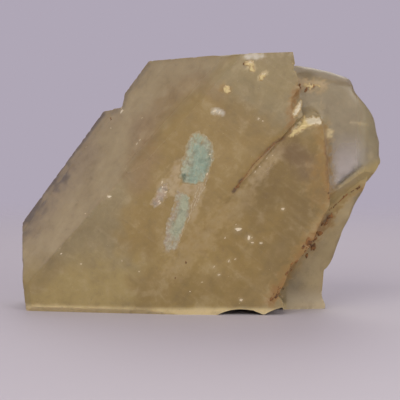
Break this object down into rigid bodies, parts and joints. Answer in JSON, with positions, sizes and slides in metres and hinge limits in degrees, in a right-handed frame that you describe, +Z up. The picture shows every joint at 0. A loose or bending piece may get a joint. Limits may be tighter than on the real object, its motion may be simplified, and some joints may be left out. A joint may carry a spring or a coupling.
{
  "type": "smoky quartz specimen",
  "caption": "Honey-grey smoky quartz crystal mass standing on a flat base, with blue-green blades included in its front face.",
  "frame": {"origin": "on the surface that the specimen stands on, under the middle of its bounding box", "axes": "+X along the specimen's length towards its two thin plates, +Y from the front face to the back, +Z up"},
  "size_m": [0.1046, 0.0373, 0.074],
  "materials": {
    "honey_quartz": "gloss",
    "sea_green_mineral": "satin",
    "pale_green_mineral": "satin",
    "pale_pink_mineral": "satin"
  },
  "bodies": {
    "root": {"quartz_crystal": "honey_quartz", "blue_green_blade_upper": "sea_green_mineral", "blue_green_blade_lower": "pale_green_mineral", "pale_blade_left": "pale_pink_mineral"}
  },
  "joints": []
}
